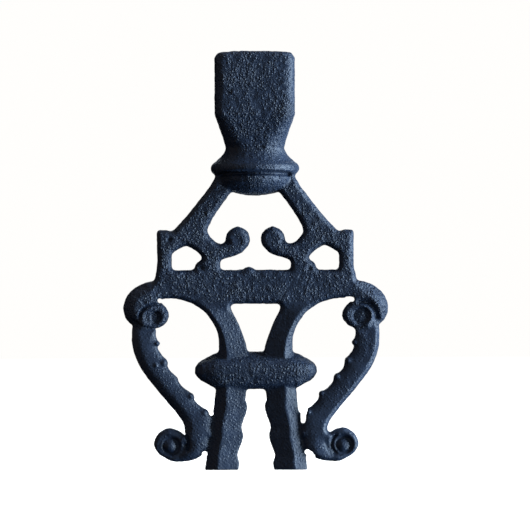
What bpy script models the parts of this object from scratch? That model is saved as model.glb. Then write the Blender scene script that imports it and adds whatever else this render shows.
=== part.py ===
"""Head of an ornamental cast-iron standard: a square block on a turned neck, carried by an openwork
frame of struts, scrolls and posts on a crossbar, and two ribbed standards clasped by a collar.

Every length below is in millimetres, and MM turns it into Blender's metres. X runs across the
object, +Z is up and Y is its depth, with the middle plane at Y = 0 and front and back alike.
Side members are drawn once, by their distance from the centre line, and made for both sides.
"""

import math

import bmesh
import bpy
import numpy as np
from mathutils import Vector

MM = 0.001
GAP = 0.3  # clearance between neighbouring pieces
SIDES = {"left": -1, "right": 1}

# Depths from the middle plane
FACE = 8.0  # front face of the flat members
FLAT_EDGE = 6.2  # where a flat member's bevel ends
BEVEL = 2.0  # width of that bevel
CREST = 9.0  # crest of a ribbed member
RIB_EDGE = 5.0  # outer edges of a ribbed member
COIL_CREST = 8.4  # crest of a scroll's coil
COIL_EDGE = 5.4

# Heights
TOP = 209.3
TAPER_TOP = 177.3
NECK = 160.8
RING = 150.6
BOWL_TOP = 146.8
BOWL_BOTTOM = 137.0
SHOULDER = 119.9
RAIL_TOP = 99.8
RAIL_BOTTOM = 83.0
COLLAR_TOP = 59.1
COLLAR_BOTTOM = 40.2

# Turned head
BLOCK_HALF = 19.9
BLOCK_CORNER = 5.0
BLOCK_EDGE = 2.2  # rounding of the block's top edge
NECK_HALF = 14.5
NECK_CORNER = 10.5
RING_RADIUS = 22.2
RING_ROLL = 3.3  # radius of the ring's half-round roll
BOWL_RADIUS = 19.5
HEAD_SIDES = 32
SPIGOT_RADIUS = 5.0
SPIGOT_TOP = 180.0

# Outer uprights
POST_INNER = 41.9
POST_OUTER = 49.1
INNER_POST = (17.7, 24.7)
RAIL_END = 49.7  # where the side scrolls meet the crossbar

# Volutes: centres as (distance from the centre line, height)
UPPER_EYE = (52.5, 76.8)
LOWER_EYE = (43.3, 12.3)
EYE_RADIUS = 4.35
EYE_RIM = 8.0  # half depth at the eye's raised rim
EYE_DISH = 6.6  # half depth at the middle of its dish

# Leaf edge of the standards
LEAF_TOP = 34.9
LEAF_PITCH = 14.2
LEAF_HEIGHT = 1.6
LEAF_RISE = 0.28  # share of the pitch over which a lobe swells

# Knuckles along the side brackets, by height
KNUCKLES = (63.9, 54.6, 46.5, 37.9, 29.6)
KNUCKLE_HEIGHT = 1.4
KNUCKLE_WIDTH = 1.5

# Collar and the peg that joins its halves
COLLAR_DEPTH = 12.0
PEG_RADIUS = 2.5
PEG_HALF = 6.0

ROUND_STEPS = 16


def clear_scene():
    for obj in list(bpy.data.objects):
        bpy.data.objects.remove(obj)


def make_material(name, colour, roughness, metallic):
    material = bpy.data.materials.new(name)
    material.use_nodes = True
    shader = material.node_tree.nodes["Principled BSDF"]
    shader.inputs["Base Color"].default_value = (*colour, 1.0)
    shader.inputs["Roughness"].default_value = roughness
    shader.inputs["Metallic"].default_value = metallic
    return material


def link_mesh(name, bm, material):
    """Closes the bmesh into an object, in metres, with its faces pointing out."""
    bmesh.ops.scale(bm, vec=(MM, MM, MM), verts=bm.verts)
    bmesh.ops.recalc_face_normals(bm, faces=bm.faces)
    mesh = bpy.data.meshes.new(name)
    bm.to_mesh(mesh)
    bm.free()
    mesh.materials.append(material)
    mesh.shade_smooth()
    mesh.set_sharp_from_angle(angle=math.radians(35))
    obj = bpy.data.objects.new(name, mesh)
    bpy.context.scene.collection.objects.link(obj)
    return obj


def smooth_curve(rows, per_span):
    """Catmull-Rom curve through rows of numbers, with per_span steps between neighbours."""
    rows = np.array(rows, float)
    ends = np.vstack([2 * rows[0] - rows[1], rows, 2 * rows[-1] - rows[-2]])
    made = []
    for a, b, c, d in zip(ends[:-3], ends[1:-2], ends[2:-1], ends[3:]):
        for t in np.arange(per_span) / per_span:
            made.append(
                0.5 * (2 * b + (c - a) * t + (2 * a - 5 * b + 4 * c - d) * t**2
                       + (3 * b - a - 3 * c + d) * t**3)
            )
    made.append(rows[-1])
    return np.array(made)


def bridge(bm, rings):
    """Solid through rings of equally many points: quads between rings and a cap at each end."""
    loops = [[bm.verts.new(point) for point in ring] for ring in rings]
    for low, high in zip(loops, loops[1:]):
        for i in range(len(low)):
            j = (i + 1) % len(low)
            bm.faces.new((low[i], low[j], high[j], high[i]))
    bm.faces.new(loops[0])
    bm.faces.new(loops[-1])


def bar(name, side, edges, sections, material, per_span=4, fringe=None):
    """Bar between two edges. edges holds (outer x, z, inner x, z) rows, and sections holds
    (flat from, flat to, edge depth, crest depth) rows, spread evenly along the bar, where the
    flat is a share of the width. fringe(z) swells the inner edge."""
    track = smooth_curve(edges, per_span)
    along = np.linspace(0, 1, len(track))
    marks = np.linspace(0, 1, len(sections))
    shapes = np.array([np.interp(along, marks, column) for column in zip(*sections)]).T
    rings = []
    for (ax, az, bx, bz), (start, stop, edge, crest) in zip(track, shapes):
        outer, inner = Vector((ax, az)), Vector((bx, bz))
        if fringe:
            inner += (inner - outer).normalized() * fringe(bz)
        across = [outer, outer.lerp(inner, start), outer.lerp(inner, stop), inner]
        depths = (edge, crest, crest, edge)
        front = [(side * p.x, -d, p.y) for p, d in zip(across, depths)]
        rings.append(front + [(x, -y, z) for x, y, z in reversed(front)])
    bm = bmesh.new()
    bridge(bm, rings)
    return link_mesh(name, bm, material)


def corner_inset(before, here, after, width):
    """Point that lies width inside an outline's two edges at here. The outline turns left."""
    first = (here - before).normalized()
    second = (after - here).normalized()
    normal = Vector((-first.y - second.y, first.x + second.x)).normalized()
    return here + normal * width / max(0.5, normal.dot(Vector((-first.y, first.x))))


def plate(name, side, outline, material, face=FACE, edge=FLAT_EDGE, bevel=BEVEL):
    """Flat member with bevelled edges. outline runs anticlockwise as (x, z) points."""
    points = [Vector(p) for p in outline]
    count = len(points)
    inset = [
        corner_inset(points[i - 1], points[i], points[(i + 1) % count], bevel)
        for i in range(count)
    ]
    layers = [(inset, -face), (points, -edge), (points, edge), (inset, face)]
    bm = bmesh.new()
    bridge(bm, [[(side * p.x, y, p.y) for p in ring] for ring, y in layers])
    return link_mesh(name, bm, material)


def rounded_square(half, corner):
    """HEAD_SIDES points round a square of this half width, with rounded corners."""
    steps = HEAD_SIDES // 4
    ring = []
    for quarter in range(4):
        for step in range(steps):
            angle = math.pi / 2 * (quarter + step / (steps - 1))
            middle = math.pi / 2 * quarter + math.pi / 4
            cx = (half - corner) * math.copysign(1, math.cos(middle))
            cy = (half - corner) * math.copysign(1, math.sin(middle))
            ring.append((cx + corner * math.cos(angle), cy + corner * math.sin(angle)))
    return ring


def stack(name, levels, material):
    """Solid of rounded squares, from (height, half width, corner radius) levels."""
    bm = bmesh.new()
    rings = [[(x, y, z) for x, y in rounded_square(half, corner)] for z, half, corner in levels]
    bridge(bm, rings)
    bmesh.ops.remove_doubles(bm, verts=bm.verts, dist=1e-4)
    return link_mesh(name, bm, material)


def turned(name, profile, centre, axis, material, steps=ROUND_STEPS):
    """Solid turned about an axis, "Y" or "Z", from (radius, distance along the axis) points."""
    cx, cz = centre
    rings = []
    for radius, along in profile:
        ring = []
        for step in range(steps):
            angle = 2 * math.pi * step / steps
            a, b = radius * math.cos(angle), radius * math.sin(angle)
            ring.append((cx + a, along, cz + b) if axis == "Y" else (cx + a, b, cz + along))
        rings.append(ring)
    bm = bmesh.new()
    bridge(bm, rings)
    return link_mesh(name, bm, material)


def box(name, low, high, material):
    bm = bmesh.new()
    (ax, ay, az), (bx, by, bz) = low, high
    base = [(ax, ay), (bx, ay), (bx, by), (ax, by)]
    bridge(bm, [[(x, y, z) for x, y in base] for z in (az, bz)])
    return link_mesh(name, bm, material)


def hide(helper):
    helper.hide_render = True
    helper.display_type = "WIRE"


def combine(target, helper, operation):
    modifier = target.modifiers.new(f"{operation.lower()}_{helper.name}", "BOOLEAN")
    modifier.operation = operation
    modifier.object = helper
    modifier.solver = "EXACT"
    hide(helper)


def grown_copy(obj, distance):
    """Copy of a piece that is larger all round, to cut room for the piece in a neighbour."""
    mesh = obj.data.copy()
    normals = [vertex.normal.copy() for vertex in mesh.vertices]
    for vertex, normal in zip(mesh.vertices, normals):
        vertex.co += normal * distance * MM
    grown = bpy.data.objects.new(f"room_for_{obj.name}", mesh)
    bpy.context.scene.collection.objects.link(grown)
    return grown


def make_room(target, *neighbours):
    for neighbour in neighbours:
        combine(target, grown_copy(neighbour, 1.5 * GAP), "DIFFERENCE")


def tenon(guest, host, side, low, high):
    """Square tenon on guest, in a mortise of host. low and high are (x, y, z) corners."""
    ax, bx = sorted((side * low[0], side * high[0]))
    low, high = (ax, *low[1:]), (bx, *high[1:])
    peg = box(f"tenon_{guest.name}_{host.name}", low, high, guest.data.materials[0])
    mortise = box(
        f"mortise_{guest.name}_{host.name}",
        [v - GAP for v in low],
        [v + GAP for v in high],
        host.data.materials[0],
    )
    combine(guest, peg, "UNION")
    combine(host, mortise, "DIFFERENCE")


def arc(centre, radius, start, stop, steps):
    """Points on an arc, with its angles in degrees."""
    angles = np.radians(np.linspace(start, stop, steps))
    return [(centre[0] + radius * math.cos(a), centre[1] + radius * math.sin(a)) for a in angles]


def polar_rows(centre, turns, eye_side_first):
    """Edge rows for a bar's coil, from (angle, inner radius, outer radius) turns."""
    rows = []
    for angle, near, far in turns:
        way = Vector((math.cos(math.radians(angle)), math.sin(math.radians(angle))))
        near_point, far_point = Vector(centre) + way * near, Vector(centre) + way * far
        pair = (near_point, far_point) if eye_side_first else (far_point, near_point)
        rows.append((*pair[0], *pair[1]))
    return rows


# Head ------------------------------------------------------------------------------------------


def make_block(iron):
    levels = [(NECK + 0.5 * GAP, NECK_HALF, NECK_CORNER)]
    for share in (0.25, 0.5, 0.75, 1.0):
        half = NECK_HALF + (BLOCK_HALF - NECK_HALF) * share**1.2
        corner = NECK_CORNER + (BLOCK_CORNER - NECK_CORNER) * share
        levels.append((NECK + (TAPER_TOP - NECK) * share, half, corner))
    for angle in (0, 30, 60, 90):
        bend = math.radians(angle)
        height = TOP - BLOCK_EDGE * (1 - math.sin(bend))
        half = BLOCK_HALF - BLOCK_EDGE * (1 - math.cos(bend))
        levels.append((height, half, BLOCK_CORNER))
    return stack("top_block", levels, iron)


def make_neck_ring(iron):
    levels = [(BOWL_TOP + GAP, 19.3, 19.3)]
    for angle in range(-60, 61, 20):
        bend = math.radians(angle)
        radius = RING_RADIUS - RING_ROLL * (1 - math.cos(bend))
        levels.append((RING + RING_ROLL * math.sin(bend), radius, radius))
    flare = [(155.0, 18.4, 17.4), (156.9, 16.6, 14.8), (158.8, 15.2, 12.2)]
    levels += flare + [(NECK - 0.5 * GAP, NECK_HALF, NECK_CORNER)]
    return stack("neck_ring", levels, iron)


def make_bowl(iron):
    profile = []
    height = BOWL_TOP - BOWL_BOTTOM
    for angle in (0, 15, 30, 45, 60, 75, 84):
        bend = math.radians(angle)
        profile.append((BOWL_RADIUS * math.cos(bend), BOWL_TOP - height * math.sin(bend)))
    return turned("bowl", profile, (0, 0), "Z", iron, steps=HEAD_SIDES)


def make_head(iron):
    """Block and ring, threaded on a spigot that stands on the bowl."""
    block, ring, bowl = make_block(iron), make_neck_ring(iron), make_bowl(iron)
    profile = [(SPIGOT_RADIUS, BOWL_TOP - 2.0), (SPIGOT_RADIUS, SPIGOT_TOP)]
    combine(bowl, turned("spigot", profile, (0, 0), "Z", iron), "UNION")
    bore = [(SPIGOT_RADIUS + GAP, BOWL_TOP - 2.0), (SPIGOT_RADIUS + GAP, SPIGOT_TOP + GAP)]
    for piece in (block, ring):
        combine(piece, turned(f"bore_{piece.name}", bore, (0, 0), "Z", iron), "DIFFERENCE")
    return bowl


# Openwork frame --------------------------------------------------------------------------------


def make_strut(label, side, iron):
    """From the bowl's flank to the shoulder, over the window's apex."""
    outer = [(20.1, 145.9), (22.4, 141.8), (28.3, 134.0), (34.9, 125.9), (41.6, 118.8)]
    foot = [(41.6, 108.6), (37.8, 110.9), (35.8, 111.9)]
    joint = [(34.6, 112.2), (24.3, 118.8)]
    inner = [(23.8, 120.6), (22.9, 123.0), (21.6, 125.4), (17.0, 132.6), (12.4, 138.6)]
    head = [(9.0, 141.6), (9.0, 145.9)]
    outline = outer + foot + joint + inner + head
    return plate(f"strut_{label}", side, outline[::-1], iron)


def make_post(label, side, iron):
    corner = 1.6
    ear = arc((POST_OUTER - corner, SHOULDER - corner), corner, 0, 90, 4)
    foot = RAIL_TOP + GAP
    outline = [(POST_INNER, foot), (POST_OUTER + 0.2, foot), (POST_OUTER - 0.2, foot + 3.0), *ear]
    outline += [(44.5, SHOULDER), (POST_INNER, SHOULDER - 0.8)]
    return plate(f"outer_post_{label}", side, outline, iron, bevel=1.2)


def make_inner_scroll(label, side, iron):
    """C-scroll with a bud at its end, from the strut to the inner post."""
    ball = (8.75, 115.2), 6.0
    bud = arc(*ball, -5, 65, 5) + [(8.8, 121.7)] + arc(*ball, 112, 230, 7)
    hollow = [(23.8, 118.5), (22.8, 116.7), (21.1, 114.8), (19.0, 113.3), (17.4, 112.9)]
    belly = [(6.6, 108.8), (8.7, 107.7), (11.2, 106.8), (14.6, 105.9), (17.0, 105.1), (17.7, 104.2)]
    window = [(26.2, 104.2), (26.7, 106.6), (29.6, 109.6), (33.9, 112.1)]
    outline = hollow + [(15.6, 113.0)] + bud + belly + window
    return plate(f"inner_scroll_{label}", side, outline, iron, bevel=1.6)


def make_inner_post(label, side, iron):
    """Short upright, with a round leaf foot on its window side."""
    near, far = INNER_POST
    foot = RAIL_TOP + GAP
    leaf = [(30.5, foot), *arc((26.0, foot), 4.6, 34, 70, 3)]
    outline = [(near, foot), *leaf, (far, 103.9), (near, 103.9)]
    return plate(f"inner_post_{label}", side, outline, iron, bevel=1.2)


def make_crossbar(iron):
    """Flat rail, shallower beyond the standards, with a small tump on top near its middle."""
    arch = [(30.9, RAIL_BOTTOM), (34.6, 84.3), (38.6, 85.5), (42.6, 85.9), (46.6, 85.5)]
    end = [(RAIL_END, 84.9), (50.4, 94.4), (49.9, 97.2), (49.3, RAIL_TOP)]
    right = arch + end
    tump = [(-0.4, RAIL_TOP), (-1.8, 101.0), (-3.4, 101.4), (-5.0, 101.0), (-6.4, RAIL_TOP)]
    left = [(-x, z) for x, z in reversed(right)]
    return plate("crossbar", 1, right + tump + left, iron)


def make_frame(iron):
    rail = make_crossbar(iron)
    struts = {}
    for label, side in SIDES.items():
        strut = make_strut(label, side, iron)
        post = make_post(label, side, iron)
        scroll = make_inner_scroll(label, side, iron)
        inner_post = make_inner_post(label, side, iron)
        tenon(post, rail, side, (43.6, -3.5, 93.0), (47.6, 3.5, 102.0))
        tenon(inner_post, rail, side, (19.4, -3.0, 94.0), (23.0, 3.0, 102.0))
        tenon(inner_post, scroll, side, (19.6, -2.6, 102.0), (22.8, 2.6, 106.8))
        tenon(strut, post, side, (39.0, -3.0, 111.6), (44.6, 3.0, 115.4))
        struts[label] = strut
    return rail, struts


# Standards, collar and side scrolls --------------------------------------------------------------


def leaf_fringe(z):
    """Lobes of the leaf edge: each swells fast and dies away slowly, downwards."""
    if z > LEAF_TOP:
        return 0.0
    phase = (LEAF_TOP - z) / LEAF_PITCH % 1
    if phase < LEAF_RISE:
        return LEAF_HEIGHT * math.sin(math.pi / 2 * phase / LEAF_RISE)
    return LEAF_HEIGHT * (1 + math.cos(math.pi * (phase - LEAF_RISE) / (1 - LEAF_RISE))) / 2


def knuckle_fringe(z):
    return sum(KNUCKLE_HEIGHT * math.exp(-(((z - at) / KNUCKLE_WIDTH) ** 2)) for at in KNUCKLES)


def make_standard(label, side, iron):
    """From the crossbar through the collar to the foot."""
    edges = [
        (30.9, 82.7, 12.9, 82.7), (25.9, 79.4, 12.0, 79.4), (22.9, 75.9, 10.1, 75.9),
        (20.7, 72.4, 8.4, 72.4), (19.2, 69.0, 7.1, 69.0), (18.5, 65.5, 5.9, 65.5),
        (18.4, 61.0, 4.6, 61.0), (18.4, 54.0, 4.2, 54.0), (18.9, 46.0, 4.3, 46.0),
        (20.1, 39.0, 5.0, 39.0), (20.5, 34.9, 5.5, 34.9), (21.3, 29.0, 6.4, 29.0),
        (22.2, 24.0, 7.1, 24.0), (22.9, 19.0, 7.8, 19.0), (23.6, 14.0, 8.5, 14.0),
        (24.3, 9.0, 9.3, 9.0), (24.9, 4.5, 9.9, 4.5), (25.6, 0.0, 10.5, 0.0),
    ]
    flat, ribbed = (0.1, 0.88, FLAT_EDGE, FACE), (0.27, 0.3, RIB_EDGE, CREST)
    foot = (0.36, 0.39, RIB_EDGE, CREST)
    sections = [flat, (0.2, 0.45, 5.4, 8.5), ribbed, ribbed, foot, foot, foot, foot]
    name = f"standard_{label}"
    return bar(name, side, edges, sections, iron, per_span=3, fringe=leaf_fringe)


def make_collar_half(name, facing, iron):
    """Half of the lens-shaped collar, on the front (-1) or the back (1) of the standards."""
    middle = (COLLAR_TOP + COLLAR_BOTTOM) / 2
    half_height = (COLLAR_TOP - COLLAR_BOTTOM) / 2
    stations = [
        (0, 1, 1), (17, 1, 1), (20.8, 0.9, 0.97), (23.8, 0.73, 0.92), (26.8, 0.58, 0.84),
        (29.0, 0.4, 0.68), (30.4, 0.17, 0.45),
    ]
    stations = [(-x, tall, deep) for x, tall, deep in reversed(stations)] + stations[1:]
    rings = []
    for x, tall, deep in stations:
        ring = []
        for angle in np.radians((0, 25, 50, 72, 90, 108, 130, 155, 180)):
            depth = 0.5 * GAP + (COLLAR_DEPTH * deep - 0.5 * GAP) * math.sin(angle) ** 0.8
            ring.append((x, facing * depth, middle + half_height * tall * math.cos(angle)))
        rings.append(ring)
    bm = bmesh.new()
    bridge(bm, rings)
    return link_mesh(name, bm, iron)


def make_collar(iron, standards):
    """Two halves round the standards. A peg on the front one sits in a socket in the back one."""
    front = make_collar_half("collar_front", -1, iron)
    back = make_collar_half("collar_back", 1, iron)
    make_room(front, *standards)
    make_room(back, *standards)
    centre = (0, (COLLAR_TOP + COLLAR_BOTTOM) / 2)
    peg = [(PEG_RADIUS, -PEG_HALF), (PEG_RADIUS, PEG_HALF)]
    socket = [(PEG_RADIUS + GAP, -PEG_HALF), (PEG_RADIUS + GAP, PEG_HALF + GAP)]
    combine(front, turned("collar_peg", peg, centre, "Y", iron), "UNION")
    combine(back, turned("collar_socket", socket, centre, "Y", iron), "DIFFERENCE")


def make_side_scroll(label, side, iron):
    """From the crossbar's end, over the outside and round its eye, in a closing coil."""
    turns = [
        (98, 8.2, 17.6), (84, 6.7, 17.2), (62, 6.1, 16.3), (41, 5.9, 15.6), (20, 5.7, 14.5),
        (0, 5.5, 12.9), (-19, 5.2, 10.7), (-45, 5.0, 8.0), (-75, 4.8, 6.6), (-110, 4.8, 6.5),
        (-145, 4.8, 7.8), (-180, 4.8, 9.2), (-210, 4.8, 8.9), (-240, 4.8, 8.2), (-262, 4.7, 7.0),
        (-285, 4.7, 6.0), (-315, 4.7, 5.4),
    ]
    rows = polar_rows(UPPER_EYE, turns, eye_side_first=False)
    rows[0] = (50.8, 94.3, RAIL_END + GAP + 0.1, 85.0)
    flat, rib = (0.15, 0.85, FLAT_EDGE, FACE), (0.4, 0.5, COIL_EDGE, COIL_CREST)
    tail = (0.4, 0.6, COIL_EDGE, 7.8)
    sections = [flat, (0.3, 0.6, 5.8, 8.2), rib, rib, tail, tail, (0.4, 0.6, COIL_EDGE, 7.0)]
    return bar(f"side_scroll_{label}", side, rows, sections, iron, per_span=2)


def make_bracket(label, side, iron):
    """S-shaped bracket, from under the side scroll to the standard, with a volute at its foot."""
    stem = [
        (61.7, 71.2, 49.9, 70.6), (61.9, 67.0, 50.0, 67.0), (61.7, 63.0, 49.8, 63.4),
        (60.9, 59.2, 48.8, 60.0), (59.5, 55.2, 46.8, 57.0), (57.6, 51.2, 45.2, 53.4),
        (54.9, 47.2, 43.0, 49.6), (51.8, 43.2, 40.3, 45.9), (48.6, 39.2, 37.3, 42.2),
        (45.2, 35.2, 34.4, 38.9), (41.8, 31.2, 31.4, 35.5), (38.7, 27.2, 28.0, 31.4),
        (36.4, 23.8, 23.6, 27.6), (35.5, 21.0, 20.8, 23.4), (35.4, 18.6, 20.6, 19.0),
        (35.1, 16.5, 21.0, 15.4), (34.9, 14.4, 21.8, 12.2), (35.0, 12.3, 23.6, 9.8),
        (35.6, 10.4, 26.4, 7.7), (36.8, 8.8, 29.8, 5.9), (38.3, 7.6, 33.6, 4.6),
    ]
    turns = [
        (243, 5.7, 9.0), (262, 5.1, 7.8), (300, 4.8, 6.5), (330, 4.8, 6.8), (364, 4.8, 7.9),
        (400, 4.8, 8.1), (430, 4.8, 8.3), (451, 4.8, 8.7), (478, 4.8, 8.5), (500, 4.8, 8.6),
        (525, 4.7, 7.8), (550, 4.7, 6.9), (575, 4.7, 5.9),
    ]
    rows = stem + polar_rows(LOWER_EYE, turns, eye_side_first=True)
    ridge, coil = (0.4, 0.48, RIB_EDGE, 8.6), (0.4, 0.55, COIL_EDGE, COIL_CREST)
    sections = [(0.3, 0.5, RIB_EDGE, COIL_CREST), ridge, ridge, ridge, coil, coil, coil, coil]
    sections.append((0.4, 0.6, COIL_EDGE, 7.0))
    name = f"side_bracket_{label}"
    return bar(name, side, rows, sections, iron, per_span=2, fringe=knuckle_fringe)


def make_eye(name, side, centre, iron):
    """Dished button that fills a volute, with a raised rim on both faces."""
    half = [(EYE_RADIUS - 2.2, EYE_DISH), (EYE_RADIUS - 1.2, EYE_RIM), (EYE_RADIUS, EYE_RIM - 1.2)]
    profile = [(r, -y) for r, y in half] + [(r, y) for r, y in reversed(half)]
    return turned(name, profile, (side * centre[0], centre[1]), "Y", iron)


def make_lower(iron, rail):
    standards = []
    for label, side in SIDES.items():
        standard = make_standard(label, side, iron)
        scroll = make_side_scroll(label, side, iron)
        bracket = make_bracket(label, side, iron)
        make_eye(f"upper_eye_{label}", side, UPPER_EYE, iron)
        make_eye(f"lower_eye_{label}", side, LOWER_EYE, iron)
        make_room(bracket, scroll, standard)
        tenon(standard, rail, side, (17.0, -3.0, 80.6), (25.0, 3.0, 88.6))
        tenon(scroll, rail, side, (45.0, -3.0, 87.6), (52.0, 3.0, 92.0))
        tenon(bracket, standard, side, (18.6, -2.0, 16.0), (26.0, 2.0, 20.0))
        standards.append(standard)
    make_collar(iron, standards)


def main():
    clear_scene()
    iron = make_material("black_cast_iron", (0.028, 0.034, 0.048), 0.5, 0.35)
    bowl = make_head(iron)
    rail, struts = make_frame(iron)
    for label, side in SIDES.items():
        make_room(struts[label], bowl)
        tenon(struts[label], bowl, side, (12.0, -3.0, 140.4), (20.0, 3.0, 143.8))
    make_lower(iron, rail)


main()
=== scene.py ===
"""Looks of the cast-iron standard head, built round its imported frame.

The turned head and the collar keep the shape of their CAD nodes. The flat members get one
continuous relief, as a single casting has. A distance field joins the two and takes the soft
fillets, the engraved details and the sand-cast skin. It is then cut into one closed piece per node.
Lengths in the field work are in millimetres; objects are in metres.
"""

import math

import bpy
import numpy as np
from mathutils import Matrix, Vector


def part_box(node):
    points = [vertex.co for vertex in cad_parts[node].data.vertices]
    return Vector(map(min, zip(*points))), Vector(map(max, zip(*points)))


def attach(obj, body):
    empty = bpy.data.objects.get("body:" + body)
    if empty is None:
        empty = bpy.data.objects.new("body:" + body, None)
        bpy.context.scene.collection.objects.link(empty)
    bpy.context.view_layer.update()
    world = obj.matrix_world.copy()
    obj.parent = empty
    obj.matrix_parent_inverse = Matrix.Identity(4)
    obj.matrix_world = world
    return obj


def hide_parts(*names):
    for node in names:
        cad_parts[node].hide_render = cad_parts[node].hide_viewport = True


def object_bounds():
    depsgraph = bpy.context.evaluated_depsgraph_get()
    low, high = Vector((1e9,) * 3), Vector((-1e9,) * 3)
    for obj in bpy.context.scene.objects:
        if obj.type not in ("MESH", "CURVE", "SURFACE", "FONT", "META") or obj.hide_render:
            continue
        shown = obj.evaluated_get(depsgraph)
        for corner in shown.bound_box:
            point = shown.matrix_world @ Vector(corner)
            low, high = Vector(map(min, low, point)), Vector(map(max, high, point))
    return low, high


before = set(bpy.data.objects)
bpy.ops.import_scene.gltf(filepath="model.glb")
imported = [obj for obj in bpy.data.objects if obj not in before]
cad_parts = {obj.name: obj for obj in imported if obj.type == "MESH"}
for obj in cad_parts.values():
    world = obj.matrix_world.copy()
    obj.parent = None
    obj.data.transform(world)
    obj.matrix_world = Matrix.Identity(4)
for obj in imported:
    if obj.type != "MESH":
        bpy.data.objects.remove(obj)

import openvdb as vdb
from mathutils import Vector

CAD_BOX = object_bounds()
MM = 0.001

# Distance field
VOXEL = 0.4
BAND = 3.6  # how far from a surface distances are known
REACH = 6.5  # the same for the flat outlines
MARGIN = 3.0  # room round the object
FILLET = 1.1  # radius of the fillets between members
SOFTNESS = 0.25  # spread of the smoothing that takes the edge off every corner
OPEN_AIR = 0.3  # distance from the outline at which open air begins
HOLE_RIM = 0.05  # how far inside the outline a hole's edge is filled along with it
FLOOD_STEPS = 20  # cells by which the open air is traced between two counts
OVERLAP = 0.6  # how far a piece runs on under its neighbour
SINK = 0.1  # how deep its surface dives there
NOBODY = 255  # number of the node that owns a place far from every node

# Sand-cast skin: (size of the lumps, height, seed). It is finer on the dressed members.
SKIN = ((8.0, 0.03, 3), (2.0, 0.03, 5), (1.1, 0.075, 8))
DRESSED_SKIN = 0.35  # share of the height there
ROLL_SKIN = 0.2  # share of the height on the ring's smooth roll
DRESSED_EDGE = (-1, 1)  # distance into a dressed member over which its share sets in
ROLL_EDGE = (2, 3.5)  # height from the roll's middle over which its share ends

# Members by the way their relief is made
HEAD = ("top_block", "neck_ring", "bowl")
COLLAR = ("collar_front", "collar_back")
SOLID = HEAD + COLLAR
LEGS = ("standard_left", "standard_right")
BRACKETS = ("side_bracket_left", "side_bracket_right", "lower_eye_left", "lower_eye_right")
CORE = 5.0  # half depth over which a member's outline is taken
NO_RELIEF = -2.0  # half depth of the flat members where there are none

# How far the collar's front sits below its node at its top and at its foot, and the distances over
# which that sets in: below the top, above the foot and out from the middle plane
COLLAR_DROP_TOP, COLLAR_DROP_FOOT = 1.3, -0.7
COLLAR_TOP_EASE, COLLAR_FOOT_EASE, COLLAR_FRONT_EASE = (7, 2), (2, 6), (2, 6)
COLLAR_CLEAR = 5  # distance above the top from which nothing is lowered

# Relief of the frame and, further out, of the side scrolls: half depth at the edge and at the
# crest, and width of the rounding
FRAME_EDGE, FRAME_FACE, FRAME_ROUND = 5.8, 8.0, 2.1
SCROLL_EDGE, SCROLL_FACE, SCROLL_ROUND = 3.8, 8.6, 6.2
FRAME_POWER = 1.6
SCROLL_START, SCROLL_FULL = 48.0, 55.0  # from which x the scroll's relief sets in
SCROLL_BELOW, SCROLL_TOP = 90.0, 95.0  # and below which z

# A bracket rises from its outer edge to a crest and falls off to its inner edge, with a small lip.
# The left one is rounder than the right one.
BRACKET_EDGE, BRACKET_CREST = 6.3, 8.9
BRACKET_ROUND = (4.5, 2.1)
BRACKET_POWER = 1.7
BRACKET_FALL = (0.5, 0.45)
BRACKET_EASE = 2.5  # width over which the frame takes up a bracket's height
LIP_DROP, LIP_WIDTH = 0.7, 1.5

# The legs' CAD slopes are eased, measured from their crest
LEG_CREST = 9.0
LEG_SLOPE = 0.78
LEG_EASE = (-6.0, 0.5)  # from the crossbar's underside: where the leg takes up the frame's height
LEG_SPREAD = 3  # cells by which a leg's heights run on past its outline

# Above the collar the legs' crest runs along an arc: x, z and radius, and the slopes on both sides
CREST_X, CREST_Z, CREST_RADIUS = 48.2, 56.8, 33.7
CREST_FALL, CREST_FLANK = 0.33, 0.9

# Round bites out of the outline, where two members part: x, z, radius
NOTCHES = (
    (-47.9, 84.6, 1.3), (48.3, 85.0, 1.3), (47.0, 85.1, 1.4), (45.7, 85.1, 1.3),
    (-22.3, 28.2, 1.3), (24.1, 28.3, 1.3), (23.6, 27.4, 1.4), (23.6, 26.3, 1.35), (23.6, 25.3, 1.3),
    (23.5, 24.3, 1.2), (24.9, 29.6, 1.0), (-25.7, 8.0, 1.5), (25.6, 8.8, 1.5), (27.2, 7.9, 1.4),
    (28.5, 6.8, 1.0),
)

# Dishes in the eyes of the four volutes: x, z, half width, half height, depth
DISHES = (
    (-51.4, 76.3, 4.7, 3.9, 0.8), (-49.9, 76.4, 2.9, 3.3, 0.8), (52.8, 76.6, 4.9, 4.9, 1.4),
    (-42.5, 11.9, 5.1, 4.9, 1.2), (43.9, 12.4, 5.0, 4.9, 1.2),
)
DISH_RIM = 0.22  # width of a dish's wall as a share of its radius
DISH_MIDDLE = 0.75  # depth at its middle as a share of the depth

# Grooves that wind round the volutes, a crease at the left bracket's top and a line along the right
# bracket, as arcs of ellipses: x, z, half width, half height, half breadth, depth, and the middle
# and half span of the angles in degrees
GROOVES = (
    (-50.2, 76.5, 7.8, 6.4, 1.0, 1.8, 132, 68), (52.8, 76.7, 7.9, 7.6, 2.3, 2.3, 45, 70),
    (-49.5, 89.0, 18.5, 18.5, 0.7, 1.1, 252, 24),
    (-41.6, 12.9, 8.0, 8.0, 1.1, 1.9, 12, 44), (44.8, 12.9, 7.5, 6.4, 1.4, 1.4, 178, 58),
    (40.5, 65.9, 20.8, 20.8, 0.7, 0.45, -18, 36),
)
GROOVE_INNER = 0.3  # share of a groove's width that its inner wall takes
BALL_CREASE = (13.4, 113.6, 1.7, 1.2)  # x, z, radius and depth, where a ball end leaves its stem
LEAF_FOOT = (27.0, 100.9, 2.0, 0.9)  # the same for the dimple in an inner post's leaf foot

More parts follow.
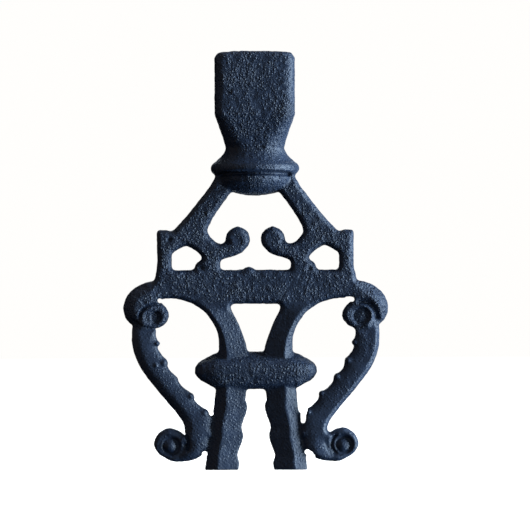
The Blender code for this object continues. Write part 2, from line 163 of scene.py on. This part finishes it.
# Pits and pimples of the casting: x, z, radius, and depth (below 0 for a pimple)
PIMPLES = (
    (-42.9, 115.1, 1.4, 1.2), (-19.2, 141.3, 1.2, -0.8), (-23.7, 128.1, 1.1, -0.7),
    (-10.7, 188.4, 1.2, -0.7), (5.5, 161.2, 1.1, -0.6), (-49.4, 63.3, 1.4, -0.8),
    (-49.7, 52.3, 1.2, -0.8), (-28.0, 187.0, 1.0, -0.5), (-10.3, 170.2, 1.0, -0.5),
)

# Knobs along the inner edges of the brackets, in the same terms
KNOBS = (
    (-48.6, 63.2, 1.6, -0.9), (-45.4, 53.6, 2.2, -1.0), (-32.0, 36.9, 2.0, -1.0),
    (-25.6, 28.6, 1.8, -0.7), (48.9, 63.5, 1.6, -0.8), (46.0, 54.6, 1.8, -0.9),
    (40.3, 46.7, 1.9, -1.0), (32.4, 38.4, 1.9, -1.0), (26.0, 28.8, 1.8, -0.9),
)

# Groove under the head's ring: height where it meets the outline, rise at the front, half breadth
RING_GROOVE, RING_BOW, RING_BREADTH = 146.7, 1.7, 1.5
RING_DEPTH = 2.4
RING_REACH = 20.0  # its half width
RING_FADE = (16.0, 19.0)  # from which x it fades out, and where it ends
RING_ROLL = 151.6  # height of the ring's smooth roll
TOP_SINK, TOP_FALL = 0.35, 1.0  # how far the block's top sinks, and falls off to its corners
TOP_EASE = (4, 1)  # distances below the top over which that sets in

# Leaf veins on the legs
LEG_INNER = 5.1  # x of the inner edge at the leaf's top
LEG_LEAN = 0.095
LEAF_TOP = 37.0
VEIN_REACH = 5.0
VEIN_PITCH = 1.5
VEIN_DEPTH = 0.07
VEIN_SLANT = math.radians(-40)

# Paint: colours in linear light, roughness, and the scales of the patterns per metre
PAINT_DARK, PAINT_LIGHT = (0.0135, 0.0245, 0.052), (0.0225, 0.038, 0.077)
PAINT_ROUGHNESS = (0.38, 0.56)
TONE_SCALE, GLOSS_SCALE, PATCH_SCALE = 140, 420, 90
BEAD_SCALE, GRAIN_SCALE = 620, 1150
BEAD_HEIGHT = 0.6  # against a grain of 1
TONE_RANGE, PATCH_RANGE, BEAD_RANGE = (0.3, 0.72), (0.35, 0.65), (0.12, 0.42)  # of a pattern's values
PATCH_GRAIN = (0.45, 1.0)  # share of the grain's height that is left in the smooth and rough patches
GRAINS = {  # height of the grain of each paint, in metres
    "painted_cast_iron": 0.0009,
    "painted_turned_iron": 0.0006,
    "painted_dressed_iron": 0.00036,
}

# Floor
FLOOR_DARK, FLOOR_LIGHT = (0.86, 0.855, 0.84), (0.9, 0.895, 0.88)
FLOOR_SCALE = 3.0
FLOOR_GLOW = 1.2

# Softboxes: name, place, target, width and height, watts and colour
SOFTBOXES = (
    ("key", (1.5, -0.25, 0.2), (0, 0, 0.1), (0.8, 2.4), 96, (0.66, 0.84, 1.0)),
    ("top", (-0.2, 0.1, 2.2), (0, 0.1, 0), (2.4, 2.4), 9, (1.0, 0.98, 0.95)),
    ("fill", (-0.2, -2.6, 0.3), (0, 0, 0.1), (1.6, 2.6), 7, (0.75, 0.87, 1.0)),
    ("left", (-1.6, -0.4, 0.3), (0, 0, 0.1), (1.4, 2.0), 1.8, (1.0, 0.75, 0.54)),
    ("back", (0.2, 2.6, 0.4), (0, 0, 0.1), (1.6, 2.6), 18, (0.75, 0.87, 1.0)),
)


# Distance field --------------------------------------------------------------------------------


def node_arrays(obj):
    """Points in millimetres and triangles of a mesh object."""
    mesh = obj.data
    mesh.calc_loop_triangles()
    points = np.empty(len(mesh.vertices) * 3, np.float32)
    mesh.vertices.foreach_get("co", points)
    corners = np.empty(len(mesh.loop_triangles) * 3, np.int32)
    mesh.loop_triangles.foreach_get("vertices", corners)
    return points.reshape(-1, 3) / MM, corners.reshape(-1, 3).astype(np.uint32)


def level_set(points, faces, band, quads=None):
    """Distances up to band from a closed surface, below 0 inside it."""
    transform = vdb.createLinearTransform(voxelSize=VOXEL)
    return vdb.FloatGrid.createLevelSetFromPolygons(
        points.astype(np.float32), triangles=faces, quads=quads, transform=transform,
        halfWidth=band / VOXEL,
    )


def read_block(grid, start, shape):
    block = np.empty(shape, np.float32)
    grid.copyToArray(block, ijk=tuple(int(i) for i in start))
    return block


def polygons(field, start, level=0.0):
    """Surface of a dense field at a level: points in millimetres, triangles and quads."""
    grid = vdb.FloatGrid(BAND)
    grid.transform = vdb.createLinearTransform(voxelSize=VOXEL)
    grid.copyFromArray(field, ijk=tuple(int(i) for i in start))
    return grid.convertToPolygons(isovalue=level)


def block_of(low, high, margin):
    """First voxel and voxel counts of the block that holds a box with some room round it."""
    start = np.floor((np.array(low) - margin) / VOXEL).astype(int)
    stop = np.ceil((np.array(high) + margin) / VOXEL).astype(int)
    return start, tuple(stop - start + 1)


def window(start, shape, outer_start):
    """Slices of a block inside a larger one."""
    first = start - outer_start
    return tuple(slice(a, a + n) for a, n in zip(first, shape))


def places(start, shape):
    """Coordinates of the voxels along each axis."""
    return [((s + np.arange(n)) * VOXEL).astype(np.float32) for s, n in zip(start, shape)]


def blurred(field, spread):
    """Gaussian blur, with the spread in millimetres."""
    reach = max(1, int(math.ceil(2.5 * spread / VOXEL)))
    offsets = np.arange(-reach, reach + 1)
    weights = np.exp(-0.5 * (offsets * VOXEL / spread) ** 2)
    weights /= weights.sum()
    for axis in range(3):
        padded = np.pad(field, [(reach, reach) if i == axis else (0, 0) for i in range(3)], "edge")
        total = np.zeros_like(field)
        for offset, weight in enumerate(weights):
            part = [slice(None)] * 3
            part[axis] = slice(offset, offset + field.shape[axis])
            total += np.float32(weight) * padded[tuple(part)]
        field = total
    return field


def spline_weights(start, count, size):
    """Matrix that spreads a coarse row of numbers over count voxels as a smooth curve."""
    at = (start + np.arange(count)) * VOXEL / size
    first = int(np.floor(at[0])) - 1
    coarse = int(np.ceil(at[-1])) + 3 - first
    away = np.abs(at[:, None] - (first + np.arange(coarse))[None, :])
    near = 2 / 3 - away**2 + away**3 / 2
    far = (2 - away) ** 3 / 6
    return np.where(away < 1, near, np.where(away < 2, far, 0)).astype(np.float32)


def lumps(start, shape, size, seed):
    """Smooth random lumps about size millimetres across, with a spread of about 1."""
    weights = [spline_weights(s, n, size) for s, n in zip(start, shape)]
    random = np.random.default_rng(seed)
    values = random.standard_normal([w.shape[1] for w in weights]).astype(np.float32)
    for axis, weight in enumerate(weights):
        values = np.moveaxis(np.tensordot(weight, values, axes=(1, axis)), 0, axis)
    return values / values.std()


def true_distance(field, start, level=0.0):
    """Distance to the surface of a field at a level, measured from that field's zero level."""
    points, triangles, quads = polygons(field, start, level)
    grid = level_set(points, triangles, level + BAND, quads)
    return read_block(grid, start, field.shape) + np.float32(level)


def fuse(nodes):
    """Nearest and second nearest distance to the nodes, and the number of the nearest."""
    low, high = (np.array(corner) / MM for corner in CAD_BOX)
    start, shape = block_of(low, high, MARGIN)
    nearest = np.full(shape, BAND, np.float32)
    second = np.full(shape, BAND, np.float32)
    owner = np.full(shape, NOBODY, np.uint8)
    own = {}
    for number, (name, obj) in enumerate(nodes):
        points, triangles = node_arrays(obj)
        grid = level_set(points, triangles, BAND)
        part_start, part_shape = block_of(points.min(0), points.max(0), BAND)
        part_start = np.maximum(part_start, start)
        stop = np.minimum(part_start + part_shape, start + np.array(shape))
        part_shape = tuple(stop - part_start)
        part = read_block(grid, part_start, part_shape)
        at = window(part_start, part_shape, start)
        closer = part < nearest[at]
        second[at] = np.where(closer, nearest[at], np.minimum(second[at], part))
        owner[at] = np.where(closer, number, owner[at])
        nearest[at] = np.where(closer, part, nearest[at])
        own[name] = (number, part_start, part)
    return start, nearest, second, owner, own


def smooth_step(value, low, high):
    """0 below low and 1 above high, with a smooth rise between them."""
    t = np.clip((value - low) / (high - low), 0, 1)
    return t * t * (3 - 2 * t)


def solid_field(own, start, shape, y, z):
    """Distance to the nodes that keep their CAD shape. The collar's front sits a little lower."""
    field = np.full(shape, BAND, np.float32)
    for name in SOLID:
        _, part_start, part = own[name]
        at = window(part_start, part.shape, start)
        field[at] = np.minimum(field[at], part)
    foot, top = (corner.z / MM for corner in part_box("collar_front"))
    at_top = smooth_step(z, *(top - ease for ease in COLLAR_TOP_EASE))
    above_foot = smooth_step(z, *(foot + ease for ease in COLLAR_FOOT_EASE))
    lower = COLLAR_DROP_TOP * at_top
    lower = lower + COLLAR_DROP_FOOT * (1 - above_foot)
    lower = lower * (z < top + COLLAR_CLEAR)
    at_front = smooth_step(np.abs(y), *COLLAR_FRONT_EASE)
    return field + at_front[None, :, None] * lower[None, None, :]


# Relief of the flat members --------------------------------------------------------------------


def outline(names, own, start, shape):
    """Flat field of some nodes seen from the front: the least distance over their core."""
    flat = np.full((shape[0], shape[2]), BAND, np.float32)
    reach = int(CORE / VOXEL)
    for name in names:
        _, part_start, part = own[name]
        middle = -part_start[1]
        core = part[:, max(middle - reach, 0):middle + reach + 1].min(axis=1)
        i, _, k = part_start - start
        at = (slice(i, i + core.shape[0]), slice(k, k + core.shape[1]))
        flat[at] = np.minimum(flat[at], core)
    return flat


def depth_inside(flat, grow):
    """Distance in from an outline, up to REACH, with gaps narrower than twice grow filled."""
    half = int(REACH / VOXEL) + 2
    slab = np.repeat(flat[:, None, :], 2 * half + 1, axis=1)
    start = (0, -half, 0)
    points, triangles, quads = polygons(slab, start, grow)
    grid = level_set(points, triangles, REACH, quads)
    row = read_block(grid, (0, 0, 0), (flat.shape[0], 1, flat.shape[1]))
    return -row[:, 0] - np.float32(grow)


def height_of(names, own, start, shape):
    """How far some nodes stand out from the middle plane at each place seen from the front."""
    heights = np.zeros((shape[0], shape[2]), np.float32)
    for name in names:
        _, part_start, part = own[name]
        half = part[:, -part_start[1]:]
        inside = half < 0
        last = half.shape[1] - 1 - np.argmax(inside[:, ::-1], axis=1)
        last = np.minimum(last, half.shape[1] - 2)[:, None]
        below = np.take_along_axis(half, last, 1)[:, 0]
        above = np.take_along_axis(half, last + 1, 1)[:, 0]
        height = (last[:, 0] + below / (below - above + 1e-6)) * VOXEL
        height = np.where(inside.any(axis=1), height, 0)
        i, _, k = part_start - start
        at = (slice(i, i + height.shape[0]), slice(k, k + height.shape[1]))
        heights[at] = np.maximum(heights[at], height)
    return heights


def spread_out(heights, steps):
    """Carries heights over a gap a few cells wide."""
    width, height = heights.shape
    for _ in range(steps):
        padded = np.pad(heights, 1)
        wider = [padded[i:i + width, j:j + height] for i in range(3) for j in range(3)]
        heights = np.where(heights > 0, heights, np.max(wider, axis=0))
    return heights


def apart(flat):
    """An outline with its holes filled, and the holes as an outline of their own."""
    open_air = flat > OPEN_AIR
    reached = np.zeros_like(open_air)
    reached[0] = reached[-1] = True
    reached[:, 0] = reached[:, -1] = True
    count = 0
    while reached.sum() > count:
        count = reached.sum()
        for _ in range(FLOOD_STEPS):
            reached = grown(reached) & open_air
    outside = grown(grown(reached))
    without_holes = np.where((flat > -HOLE_RIM) & ~outside, -BAND, flat)
    near_hole = grown(grown((flat > 0) & ~outside))
    return without_holes, np.where(near_hole, -flat, BAND)


def grown(mask):
    """A flat mask with one more cell all round."""
    wider = mask.copy()
    wider[1:] |= mask[:-1]
    wider[:-1] |= mask[1:]
    wider[:, 1:] |= mask[:, :-1]
    wider[:, :-1] |= mask[:, 1:]
    return wider


def rounded(depth, width, power):
    """Rise from 0 at an edge to 1 at some width inside it."""
    return 1 - (1 - np.clip(depth / width, 0, 1)) ** power


def frame_relief(inside, x, z):
    """Half depth of the frame, which is rounder out at the side scrolls."""
    outward = smooth_step(np.abs(x), SCROLL_START, SCROLL_FULL)
    outward = outward * (1 - smooth_step(z, SCROLL_BELOW, SCROLL_TOP))
    edge = FRAME_EDGE + (SCROLL_EDGE - FRAME_EDGE) * outward
    face = FRAME_FACE + (SCROLL_FACE - FRAME_FACE) * outward
    width = FRAME_ROUND + (SCROLL_ROUND - FRAME_ROUND) * outward
    return edge + (face - edge) * rounded(inside, width, FRAME_POWER)


def leg_relief(frame_height, own, start, shape, x, z):
    """Half depth of the legs: the eased CAD slopes, a curved crest above the collar, then the frame."""
    height = spread_out(height_of(LEGS, own, start, shape), LEG_SPREAD)
    height = LEG_CREST - LEG_SLOPE * (LEG_CREST - height)
    from_crest = np.hypot(np.abs(x) - CREST_X, z - CREST_Z) - CREST_RADIUS
    slope = np.where(from_crest > 0, CREST_FALL, CREST_FLANK)
    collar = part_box("collar_front")
    above = z > (collar[0].z + collar[1].z) / 2 / MM
    height = np.where(above, LEG_CREST - slope * np.abs(from_crest), height)
    rail_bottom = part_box("crossbar")[0].z / MM
    near_rail = smooth_step(z, rail_bottom + LEG_EASE[0], rail_bottom + LEG_EASE[1])
    return height + (frame_height - height) * near_rail


def bracket_relief(whole, leg, x):
    """Half depth of the brackets, from the distances to their outer and inner edges."""
    without_holes, holes = apart(whole)
    outer = depth_inside(without_holes, FILLET)
    inner = np.minimum(-depth_inside(holes, 0.0), leg + REACH - BAND)
    width, fall = (np.where(x < 0, *sides) for sides in (BRACKET_ROUND, BRACKET_FALL))
    rise = rounded(outer, width, BRACKET_POWER)
    height = BRACKET_EDGE + (BRACKET_CREST - BRACKET_EDGE) * rise
    height -= fall * np.clip(REACH - inner, 0, REACH) ** 2 / REACH / 2
    return height - LIP_DROP * (1 - rounded(inner, LIP_WIDTH, 2))


def relief(own, start, shape, x, z):
    """Half depth of the flat members at each place seen from the front, and depth inside."""
    rest = [name for name in own if name not in SOLID + LEGS + BRACKETS]
    flats = np.stack([outline(names, own, start, shape) for names in (HEAD, LEGS, BRACKETS, rest)])
    nearest = np.argmin(flats, axis=0)
    on_head, on_leg, on_bracket = (nearest == number for number in range(3))
    leg, bracket = flats[1:3]
    on_leg |= on_bracket & (leg < 0)  # a bracket's tenon doesn't show on the leg
    whole = np.min(flats, axis=0)
    inside = depth_inside(whole, FILLET)
    frame_height = frame_relief(inside, x, z)
    leg_height = leg_relief(frame_height, own, start, shape, x, z)
    bracket_height = bracket_relief(whole, leg, x)
    ease = 1 - smooth_step(bracket, 0, BRACKET_EASE)
    frame_height += (bracket_height - frame_height) * ease
    heights = [NO_RELIEF, leg_height, bracket_height]
    return np.select([on_head, on_leg, on_bracket], heights, frame_height), inside


def engraving(x, z):
    """Details cut into the flat members (above 0) or raised from them (below 0)."""
    cut = np.zeros(np.broadcast(x, z).shape, np.float32)
    for side in (-1, 1):
        cut += spot(x * side, z, *BALL_CREASE)
        cut += spot(x * side, z, *LEAF_FOOT)
        cut += veins(x * side, z)
    for place in PIMPLES + KNOBS:
        cut += spot(x, z, *place)
    for place in DISHES:
        cut += dish(x, z, *place)
    for place in GROOVES:
        cut += groove(x, z, *place)
    cut += ring_groove(x, z)
    cut += top_bow(x, z)
    return cut


def spot(x, z, at_x, at_z, radius, depth):
    """Round pit, or a pimple where depth is below 0."""
    away = np.hypot(x - at_x, z - at_z) / radius
    return depth * np.clip(1 - away**2, 0, 1) ** 1.5


def dish(x, z, at_x, at_z, half_width, half_height, depth):
    """Round dish with a bottom that rises a little to its middle."""
    away = np.hypot((x - at_x) / half_width, (z - at_z) / half_height)
    bottom = DISH_MIDDLE + (1 - DISH_MIDDLE) * smooth_step(away, 0, 1 - DISH_RIM)
    return depth * bottom * (1 - smooth_step(away, 1 - DISH_RIM, 1))


def groove(x, z, at_x, at_z, half_width, half_height, breadth, depth, middle, span):
    """Arc of an elliptic groove, steeper on its inner side, that fades out at both ends."""
    across_x, across_z = (x - at_x) / half_width, (z - at_z) / half_height
    angle = np.degrees(np.arctan2(across_z, across_x))
    turned = np.abs((angle - middle + 180) % 360 - 180)
    across = (np.hypot(across_x, across_z) - 1) * (half_width + half_height) / 2 / breadth
    across = (across + 1) / 2
    walls = np.minimum(across / GROOVE_INNER, (1 - across) / (1 - GROOVE_INNER))
    return depth * (1 - smooth_step(turned, span * 2 / 3, span)) * smooth_step(walls, 0, 1)


def ring_groove(x, z):
    """Groove under the head's ring, which bows up at the front."""
    bow = np.sqrt(np.clip(1 - (x / RING_REACH) ** 2, 0, 1))
    across = (z - RING_GROOVE - RING_BOW * bow) / RING_BREADTH
    fade = 1 - smooth_step(np.abs(x), *RING_FADE)
    return RING_DEPTH * np.clip(1 - across**2, 0, 1) * fade


def top_bow(x, z):
    """The head block's top, which falls off a little towards its corners."""
    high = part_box("top_block")[1]
    top, half = high.z / MM, high.x / MM
    fall = TOP_SINK + TOP_FALL * (np.abs(x) / half) ** 3
    return fall * smooth_step(z, *(top - ease for ease in TOP_EASE))


def veins(x, z):
    """Slanting veins of the leaf along a leg's inner edge."""
    edge = LEG_INNER + (LEAF_TOP - z) * LEG_LEAN
    near = np.clip(1 - (x - edge) / VEIN_REACH, 0, 1) * (z < LEAF_TOP)
    across = x * math.sin(VEIN_SLANT) - z * math.cos(VEIN_SLANT)
    return VEIN_DEPTH * near * np.sin(2 * math.pi * across / VEIN_PITCH)


def skin_share(own, start, shape, z):
    """Share of the sand-cast skin's height at each place seen from the front."""
    dressed = outline(LEGS + BRACKETS, own, start, shape)
    on_roll = 1 - smooth_step(np.abs(z - RING_ROLL), *ROLL_EDGE)
    share = 1 - (1 - DRESSED_SKIN) * smooth_step(-dressed, *DRESSED_EDGE)
    return (share * (1 - (1 - ROLL_SKIN) * on_roll)).astype(np.float32)


# Pieces ----------------------------------------------------------------------------------------


def piece_field(surface, start, nearest, second, owner, own):
    """The part of the fused surface that belongs to one node, closed where its neighbours begin."""
    number, part_start, part = own
    at = window(part_start, part.shape, start)
    others = np.where(owner[at] == number, second[at], nearest[at])
    beyond = (part - others) / 2
    return np.maximum(surface[at] + SINK * smooth_step(beyond, 0, OVERLAP), beyond - OVERLAP)


def mesh_piece(name, field, start):
    """A mesh object of a field's surface, in metres."""
    points, triangles, quads = polygons(field, start)
    faces = len(triangles) + len(quads)
    mesh = bpy.data.meshes.new(name)
    mesh.vertices.add(len(points))
    mesh.vertices.foreach_set("co", (points * MM).astype(np.float32).ravel())
    corners = np.concatenate([triangles[:, ::-1].ravel(), quads[:, ::-1].ravel()])
    sizes = np.concatenate([np.full(len(triangles), 3), np.full(len(quads), 4)])
    mesh.loops.add(len(corners))
    mesh.loops.foreach_set("vertex_index", corners.astype(np.int32))
    mesh.polygons.add(faces)
    mesh.polygons.foreach_set("loop_start", (np.cumsum(sizes) - sizes).astype(np.int32))
    mesh.update(calc_edges=True)
    mesh.shade_smooth()
    piece = bpy.data.objects.new(name, mesh)
    bpy.context.scene.collection.objects.link(piece)
    return piece


# Materials -------------------------------------------------------------------------------------


def noise(tree, place, scale, detail, roughness):
    node = tree.nodes.new("ShaderNodeTexNoise")
    node.inputs["Scale"].default_value = scale
    node.inputs["Detail"].default_value = detail
    node.inputs["Roughness"].default_value = roughness
    tree.links.new(place, node.inputs["Vector"])
    return node.outputs["Fac"]


def cells(tree, place, scale):
    """Distance to the nearest of many scattered points."""
    node = tree.nodes.new("ShaderNodeTexVoronoi")
    node.inputs["Scale"].default_value = scale
    tree.links.new(place, node.inputs["Vector"])
    return node.outputs["Distance"]


def ramp(tree, source, *stops):
    """Colour that goes with a value, between two stops."""
    node = tree.nodes.new("ShaderNodeValToRGB")
    for element, (at, colour) in zip(node.color_ramp.elements, stops):
        element.position = at
        element.color = (*colour, 1.0)
    tree.links.new(source, node.inputs["Fac"])
    return node.outputs["Color"]


def ranged(tree, source, low, high, to_low, to_high):
    """A value carried from one range to another, and held at its ends."""
    node = tree.nodes.new("ShaderNodeMapRange")
    node.inputs["From Min"].default_value = low
    node.inputs["From Max"].default_value = high
    node.inputs["To Min"].default_value = to_low
    node.inputs["To Max"].default_value = to_high
    tree.links.new(source, node.inputs["Value"])
    return node.outputs["Result"]


def combined(tree, operation, one, other):
    node = tree.nodes.new("ShaderNodeMath")
    node.operation = operation
    tree.links.new(one, node.inputs[0])
    tree.links.new(other, node.inputs[1])
    return node.outputs["Value"]


def grain_height(tree, place):
    """Fine grain with round beads, which comes and goes in patches."""
    patches = ranged(tree, noise(tree, place, PATCH_SCALE, 2, 0.5), *PATCH_RANGE, *PATCH_GRAIN)
    beads = ranged(tree, cells(tree, place, BEAD_SCALE), *BEAD_RANGE, BEAD_HEIGHT, 0.0)
    grain = combined(tree, "ADD", noise(tree, place, GRAIN_SCALE, 2, 0.55), beads)
    return combined(tree, "MULTIPLY", grain, patches)


def painted_iron(name, grain):
    """Satin blue-black paint over a sand-cast skin."""
    material = bpy.data.materials.new(name)
    material.use_nodes = True
    tree = material.node_tree
    shader = tree.nodes["Principled BSDF"]
    shader.inputs["Metallic"].default_value = 0.0
    shader.inputs["IOR"].default_value = 1.5
    place = tree.nodes.new("ShaderNodeTexCoord").outputs["Object"]
    shade = noise(tree, place, TONE_SCALE, 4, 0.6)
    tone = ramp(tree, shade, *zip(TONE_RANGE, (PAINT_DARK, PAINT_LIGHT)))
    gloss = ranged(tree, noise(tree, place, GLOSS_SCALE, 5, 0.6), 0, 1, *PAINT_ROUGHNESS)
    bump = tree.nodes.new("ShaderNodeBump")
    bump.inputs["Strength"].default_value = 1.0
    bump.inputs["Distance"].default_value = grain
    tree.links.new(grain_height(tree, place), bump.inputs["Height"])
    tree.links.new(tone, shader.inputs["Base Color"])
    tree.links.new(gloss, shader.inputs["Roughness"])
    tree.links.new(bump.outputs["Normal"], shader.inputs["Normal"])
    return material


def paper():
    """Plain pale floor that glows a little."""
    material = bpy.data.materials.new("pale_floor")
    material.use_nodes = True
    tree = material.node_tree
    shader = tree.nodes["Principled BSDF"]
    shader.inputs["Roughness"].default_value = 0.9
    shader.inputs["Emission Strength"].default_value = FLOOR_GLOW
    place = tree.nodes.new("ShaderNodeTexCoord").outputs["Generated"]
    shade = noise(tree, place, FLOOR_SCALE, 2, 0.5)
    tone = ramp(tree, shade, (0, FLOOR_DARK), (1, FLOOR_LIGHT))
    tree.links.new(tone, shader.inputs["Base Color"])
    tree.links.new(tone, shader.inputs["Emission Color"])
    return material


# Studio ----------------------------------------------------------------------------------------


def look_at(obj, place, target):
    """Puts a light at a place, facing a target."""
    obj.location = place
    obj.rotation_mode = "QUATERNION"
    obj.rotation_quaternion = (Vector(target) - Vector(place)).to_track_quat("-Z", "Y")


def add_softbox(name, place, target, size, power, colour):
    """A rectangular light that the camera doesn't see."""
    light = bpy.data.lights.new(name, "AREA")
    light.shape = "RECTANGLE"
    light.size, light.size_y = size
    light.energy = power
    light.color = colour
    obj = bpy.data.objects.new(name, light)
    obj.visible_camera = False
    bpy.context.scene.collection.objects.link(obj)
    look_at(obj, place, target)


def add_camera():
    """The camera in front of the object, nearly square to it."""
    distance = 5.0
    width = 0.265  # width of the view at the middle plane
    height = 0.1023  # of the camera above the floor
    across = 0.0048
    roll = math.radians(0.24)
    camera = bpy.data.cameras.new("camera")
    camera.sensor_width = 36.0
    camera.lens = camera.sensor_width * distance / width
    camera.clip_start = 0.05
    camera.clip_end = 60.0
    obj = bpy.data.objects.new("camera", camera)
    bpy.context.scene.collection.objects.link(obj)
    obj.location = (across, -distance, height)
    obj.rotation_euler = (math.radians(90), roll, 0)
    bpy.context.scene.camera = obj


def add_world():
    """White all round to look at; the light comes from the softboxes alone."""
    world = bpy.data.worlds.new("studio")
    world.use_nodes = True
    background = world.node_tree.nodes["Background"]
    background.inputs["Color"].default_value = (1.0, 0.992, 0.975, 1)
    background.inputs["Strength"].default_value = 1.0
    bpy.context.scene.world = world
    world.cycles_visibility.diffuse = False
    world.cycles_visibility.glossy = False


def add_floor():
    """Round floor. It throws no light back on the object."""
    radius, corners = 6.0, 64
    mesh = bpy.data.meshes.new("floor")
    angles = np.linspace(0, 2 * math.pi, corners, endpoint=False)
    vertices = [(radius * math.cos(a), radius * math.sin(a), 0.0) for a in angles]
    mesh.from_pydata(vertices, [], [tuple(range(corners))])
    mesh.materials.append(paper())
    floor = bpy.data.objects.new("floor", mesh)
    floor.visible_diffuse = False
    floor.visible_glossy = False
    floor.visible_shadow = False
    bpy.context.scene.collection.objects.link(floor)


# The object ------------------------------------------------------------------------------------


def cast_surface(start, shape, own):
    """The whole casting as one field, with its relief and its skin."""
    x, y, z = places(start, shape)
    flat_x, flat_z = x[:, None], z[None, :]
    height, inside = relief(own, start, shape, flat_x, flat_z)
    flat_members = np.maximum(np.abs(y)[None, :, None] - height[:, None, :], -inside[:, None, :])
    surface = true_distance(np.minimum(solid_field(own, start, shape, y, z), flat_members), start)
    surface = np.minimum(surface, true_distance(surface, start, FILLET))
    surface += engraving(flat_x, flat_z)[:, None, :]
    for at_x, at_z, radius in NOTCHES:
        bite = radius - np.hypot(flat_x - at_x, flat_z - at_z)
        surface = np.maximum(surface, bite[:, None, :].astype(np.float32))
    surface = blurred(surface, SOFTNESS)
    share = skin_share(own, start, shape, flat_z)[:, None, :]
    for size, amount, seed in SKIN:
        surface += np.float32(amount) * lumps(start, shape, size, seed) * share
    return surface


def paint_of(name):
    """Name of the paint on a node. The grain is finer on dressed and turned members."""
    if name in LEGS + BRACKETS:
        return "painted_dressed_iron"
    if name == "neck_ring":
        return "painted_turned_iron"
    return "painted_cast_iron"


def build():
    """One closed piece per node, cut from the whole casting."""
    nodes = sorted(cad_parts.items())
    start, nearest, second, owner, own = fuse(nodes)
    surface = cast_surface(start, nearest.shape, own)
    paints = {name: painted_iron(name, grain) for name, grain in GRAINS.items()}
    for name, _ in nodes:
        field = piece_field(surface, start, nearest, second, owner, own[name])
        piece = mesh_piece(f"{name}_casting", field, own[name][1])
        piece.data.materials.append(paints[paint_of(name)])
        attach(piece, "root")
        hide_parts(name)


add_camera()
add_world()
add_floor()
for softbox in SOFTBOXES:
    add_softbox(*softbox)
bpy.context.scene.view_settings.view_transform = "Standard"
build()
